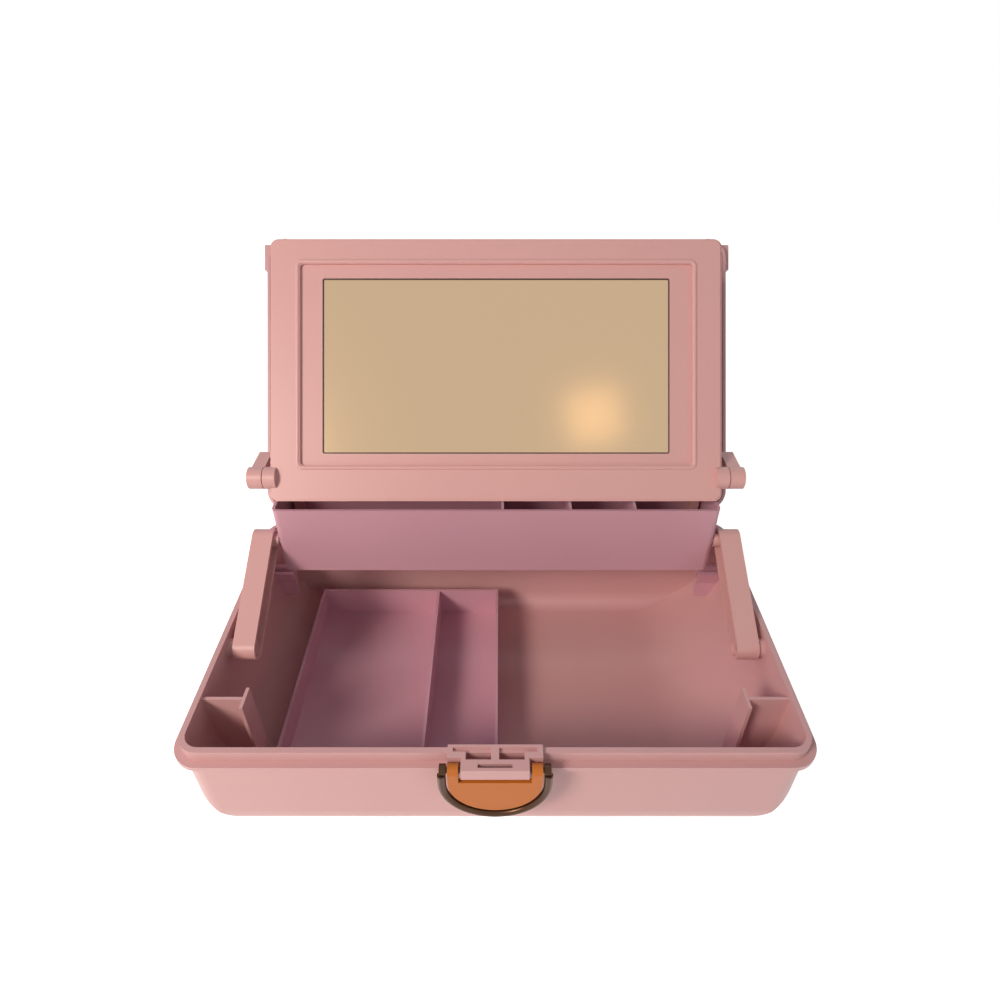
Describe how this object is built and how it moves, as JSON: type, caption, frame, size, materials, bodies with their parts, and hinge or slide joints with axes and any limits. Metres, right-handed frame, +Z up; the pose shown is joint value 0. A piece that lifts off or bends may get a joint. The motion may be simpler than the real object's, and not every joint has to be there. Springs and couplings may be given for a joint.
{
  "type": "makeup storage case",
  "caption": "Storage case with an outer lid, a divided tray that rises on side arms, a swing-up mirror, a drop-in insert, and a front latch with a carry handle.",
  "frame": {"origin": "middle of the tub's flat underside", "axes": "+Z up, the clasp faces -Y, the lid hinge is at +Y and runs along X"},
  "size_m": [0.336, 0.3397, 0.2616],
  "materials": {
    "case_pink": "dusty pink moulded plastic with a soft gloss",
    "tray_pink": "slightly darker dusty pink moulded plastic",
    "panel_pink": "salmon pink moulded plastic, satin",
    "mirror": "plain silvered mirror",
    "amber": "amber plastic, glossy",
    "bronze": "dark bronze, semi-gloss",
    "pin_steel": "plain steel pin"
  },
  "bodies": {
    "base": {"base_tub": "case_pink", "compartment_insert": "tray_pink", "wall_bracket_left": "tray_pink", "wall_bracket_right": "tray_pink", "clasp_bracket": "case_pink", "clasp_pin": "bronze", "arm_pin_left": "pin_steel", "arm_pin_right": "pin_steel", "lid_hinge_pin_left": "pin_steel", "lid_hinge_pin_right": "pin_steel"},
    "lid": {"lid_shell": "case_pink"},
    "arm_left": {"arm_left": "panel_pink", "tray_pin_left": "pin_steel"},
    "arm_right": {"arm_right": "panel_pink", "tray_pin_right": "pin_steel"},
    "tray": {"tray": "tray_pink", "tray_divider_1": "tray_pink", "tray_divider_2": "tray_pink", "tray_divider_3": "tray_pink", "mirror_post_left": "panel_pink", "mirror_post_right": "panel_pink", "mirror_pin_left": "pin_steel", "mirror_pin_right": "pin_steel"},
    "mirror": {"mirror_frame": "panel_pink", "mirror_glass": "mirror"},
    "latch": {"latch_flap": "amber"},
    "handle": {"carry_handle": "bronze"}
  },
  "joints": [
    {"name": "lid_hinge", "type": "hinge", "parent": "base", "child": "lid", "pos_m": [0, 0.1, 0.079], "axis": [1, 0, 0], "range_deg": [0, 126.5]},
    {"name": "arm_left_pivot", "type": "hinge", "parent": "base", "child": "arm_left", "pos_m": [-0.148, -0.016, 0.0695], "axis": [-1, 0, 0], "range_deg": [0, 43.2]},
    {"name": "arm_right_pivot", "type": "hinge", "parent": "base", "child": "arm_right", "pos_m": [0.148, -0.016, 0.0695], "axis": [-1, 0, 0], "range_deg": [0, 43.2]},
    {"name": "tray_pivot", "type": "hinge", "parent": "arm_left", "child": "tray", "pos_m": [-0.14, 0.046, 0.101], "axis": [1, 0, 0], "range_deg": [0, 43.2]},
    {"name": "mirror_pivot", "type": "hinge", "parent": "tray", "child": "mirror", "pos_m": [0, 0.0543, 0.1435], "axis": [1, 0, 0], "range_deg": [0, 126.5]},
    {"name": "latch_swing", "type": "hinge", "parent": "base", "child": "latch", "pos_m": [0, -0.1, 0.0765], "axis": [-1, 0, 0], "range_deg": [0, 150]},
    {"name": "handle_swing", "type": "hinge", "parent": "base", "child": "handle", "pos_m": [0, -0.1, 0.0765], "axis": [-1, 0, 0], "range_deg": [0, 100]}
  ],
  "couplings": [
    {"joint": "arm_left_pivot", "follows": "lid_hinge", "ratio": 0.3415},
    {"joint": "arm_right_pivot", "follows": "lid_hinge", "ratio": 0.3415},
    {"joint": "tray_pivot", "follows": "lid_hinge", "ratio": 0.3415},
    {"joint": "mirror_pivot", "follows": "lid_hinge", "ratio": 1}
  ]
}
